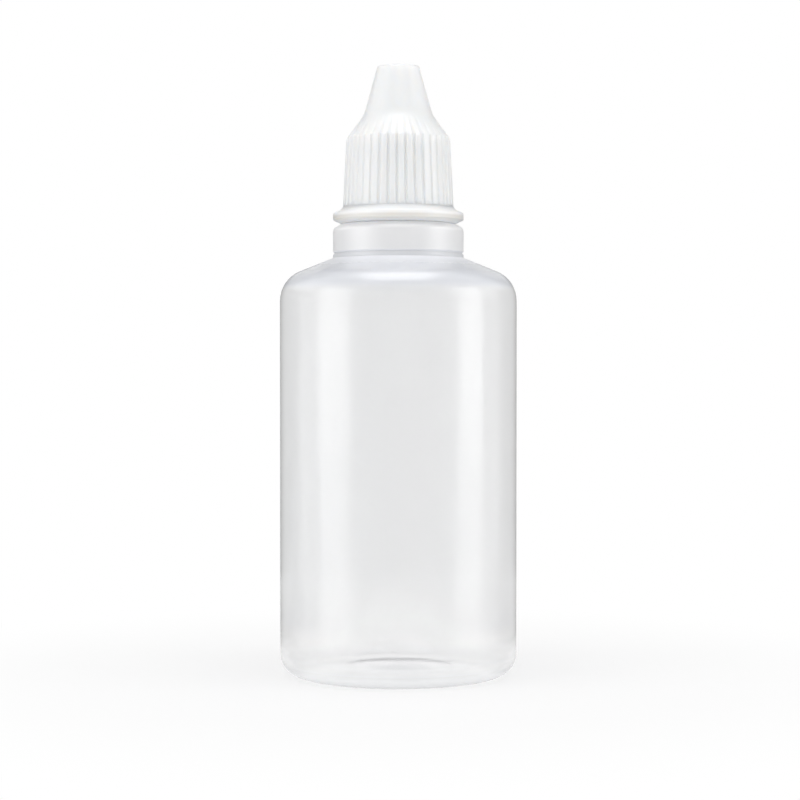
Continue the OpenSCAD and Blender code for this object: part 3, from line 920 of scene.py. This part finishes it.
def seen_white(graph, plain, share):
    """A shader that turns white by a share where it is seen directly, in gloss or through plastic."""
    rays = graph.add("ShaderNodeLightPath", None, None, "Is Camera Ray")
    node = rays.socket.node
    glossy = Wire(graph, node.outputs["Is Glossy Ray"])
    through = Wire(graph, node.outputs["Is Transmission Ray"])
    seen = rays.highest(glossy).highest(through)
    white_light = graph.add("ShaderNodeEmission", None, {"Color": (1, 1, 1, 1), "Strength": 1.0})
    return graph.add(
        "ShaderNodeMixShader", None, {"Fac": seen * share, "Shader": plain, "Shader_001": white_light}
    )


def lay_floor():
    """A plain white floor that keeps the bottle's soft shadow near it and is lost in the background behind.

    The patch under the bottle is a painted pool of light, brighter in place of the light that a real wall
    would scatter onto it.
    """
    mesh = bpy.data.meshes.new("floor")
    corners = [(-1, -1), (1, -1), (1, 1), (-1, 1)]
    mesh.from_pydata([(x * FLOOR_REACH, y * FLOOR_REACH, 0) for x, y in corners], [], [(0, 1, 2, 3)])
    floor = bpy.data.objects.new("floor", mesh)
    bpy.context.scene.collection.objects.link(floor)
    material = bpy.data.materials.new("white_floor")
    material.use_nodes = True
    graph = Graph(material.node_tree)
    place = graph.add("ShaderNodeTexCoord", None, None, "Object")
    away = graph.add("ShaderNodeVectorMath", {"operation": "LENGTH"}, {"Vector": place}, "Value")
    share = graph.ramp(away, SHADOW_NEAR * MM, SHADOW_FAR * MM, SHADOW_SHARE, 1.0)
    # Painted pool of light: the floor under the bottle turns whiter where it is seen
    share = share + graph.ramp(away, PAINTED_POOL_IN_R * MM, PAINTED_POOL_OUT_R * MM, PAINTED_POOL_SHARE, 0.0)
    matt = graph.add("ShaderNodeBsdfDiffuse", None, {"Color": FLOOR_WHITE})
    graph.add("ShaderNodeOutputMaterial", None, {"Surface": seen_white(graph, matt, share)})
    mesh.materials.append(material)


def light_world(strength):
    """An even pale room light, with a white background."""
    world = bpy.data.worlds.new("studio")
    bpy.context.scene.world = world
    world.use_nodes = True
    graph = Graph(world.node_tree)
    even = graph.add("ShaderNodeBackground", None, {"Color": (1, 1, 1, 1), "Strength": strength})
    graph.add("ShaderNodeOutputWorld", None, {"Surface": seen_white(graph, even, 1.0)})


def at_bearing(bearing, distance, height):
    """A place at a bearing from the camera's side of the bottle."""
    angle = math.radians(bearing)
    return math.sin(angle) * distance, -math.cos(angle) * distance, height


def hang_lamp(name, bearing, height, distance, size, power, in_gloss=True):
    """A soft rectangular lamp at a bearing from the camera's side of the bottle, turned towards it."""
    data = bpy.data.lights.new(name, "AREA")
    data.shape = "RECTANGLE"
    data.size, data.size_y = size
    data.energy = power
    lamp = bpy.data.objects.new(name, data)
    lamp.location = at_bearing(bearing, distance, height)
    lamp.rotation_euler = (Vector((0, 0, LAMP_AIM)) - lamp.location).to_track_quat("-Z", "Y").to_euler()
    lamp.visible_glossy = in_gloss
    bpy.context.scene.collection.objects.link(lamp)


def reflected_card(name, corners, level):
    """A card of the studio, dark or bright, that shows only as a reflection in the bottle's gloss."""
    mesh = bpy.data.meshes.new(name)
    faces = [(i, i + 1, i + 3, i + 2) for i in range(0, len(corners) - 2, 2)]
    mesh.from_pydata(corners, [], faces)
    card = bpy.data.objects.new(name, mesh)
    bpy.context.scene.collection.objects.link(card)
    card.visible_camera = False
    card.visible_diffuse = False
    card.visible_transmission = False
    card.visible_shadow = False
    material = bpy.data.materials.new(name)
    material.use_nodes = True
    graph = Graph(material.node_tree)
    surface = graph.add("ShaderNodeEmission", None, {"Color": (1, 1, 1, 1), "Strength": level})
    graph.add("ShaderNodeOutputMaterial", None, {"Surface": surface})
    mesh.materials.append(material)


def stand_flag(name, first, last, distance, height, level):
    """A curved dark card beside the bottle that draws its rims, from one bearing to another."""
    corners = []
    for k in range(FLAG_PARTS + 1):
        bearing = first + (last - first) * k / FLAG_PARTS
        corners += [at_bearing(bearing, distance, ABOVE_FLOOR), at_bearing(bearing, distance, height)]
    reflected_card(name, corners, level)


def lay_board(name, first, last, start, end, level):
    """A board on the floor that the wall reflects to the camera between two bearings, down to the heel."""
    corners = []
    for bearing in (first, last):
        foot = Vector(at_bearing(bearing, BODY_R * MM, ABOVE_FLOOR))
        corners += [foot + Vector(at_bearing(2 * bearing, along, 0)) for along in (start, end)]
    reflected_card(name, corners, level)


def set_camera():
    """Camera a little above the middle of the bottle, turned down by about one degree."""
    data = bpy.data.cameras.new("camera")
    data.sensor_width = SENSOR_W
    data.lens = SENSOR_W * FOCAL_PIXELS / PICTURE
    camera = bpy.data.objects.new("camera", data)
    camera.location = [length * MM for length in CAMERA_PLACE]
    camera.rotation_euler = (math.radians(90 - CAMERA_TILT), 0, 0)
    bpy.context.scene.collection.objects.link(camera)
    bpy.context.scene.camera = camera


lay_floor()
light_world(strength=0.31)
hang_lamp("left_softbox", bearing=-64, height=0.14, distance=0.7, size=(0.44, 0.7), power=2.5)
hang_lamp("right_softbox", bearing=73, height=0.14, distance=0.7, size=(0.36, 0.7), power=2.4)
hang_lamp("top_softbox", bearing=0, height=0.7, distance=0.07, size=(0.5, 0.42), power=2.2)
hang_lamp("front_fill", bearing=0, height=0.06, distance=0.9, size=(0.5, 0.3), power=1.25, in_gloss=False)
stand_flag("left_flag", first=-172, last=-104, distance=0.13, height=0.095, level=0.09)
stand_flag("right_flag", first=172, last=108, distance=0.13, height=0.095, level=0.09)
lay_board("left_board", first=-40, last=-23.5, start=0.03, end=0.6, level=2.5)
lay_board("right_board", first=44, last=29, start=0.03, end=0.6, level=2.8)
lay_board("left_dark_board", first=-86, last=-52, start=0.0, end=0.13, level=0.25)
lay_board("right_dark_board", first=86, last=54, start=0.0, end=0.13, level=0.25)
back_corners = [(-0.4, 0.4, 0.2), (0.4, 0.4, 0.2), (-0.4, 0.25, 0.6), (0.4, 0.25, 0.6)]
reflected_card("back_flag", back_corners, level=0.05)
set_camera()
bpy.context.scene.view_settings.view_transform = "Standard"
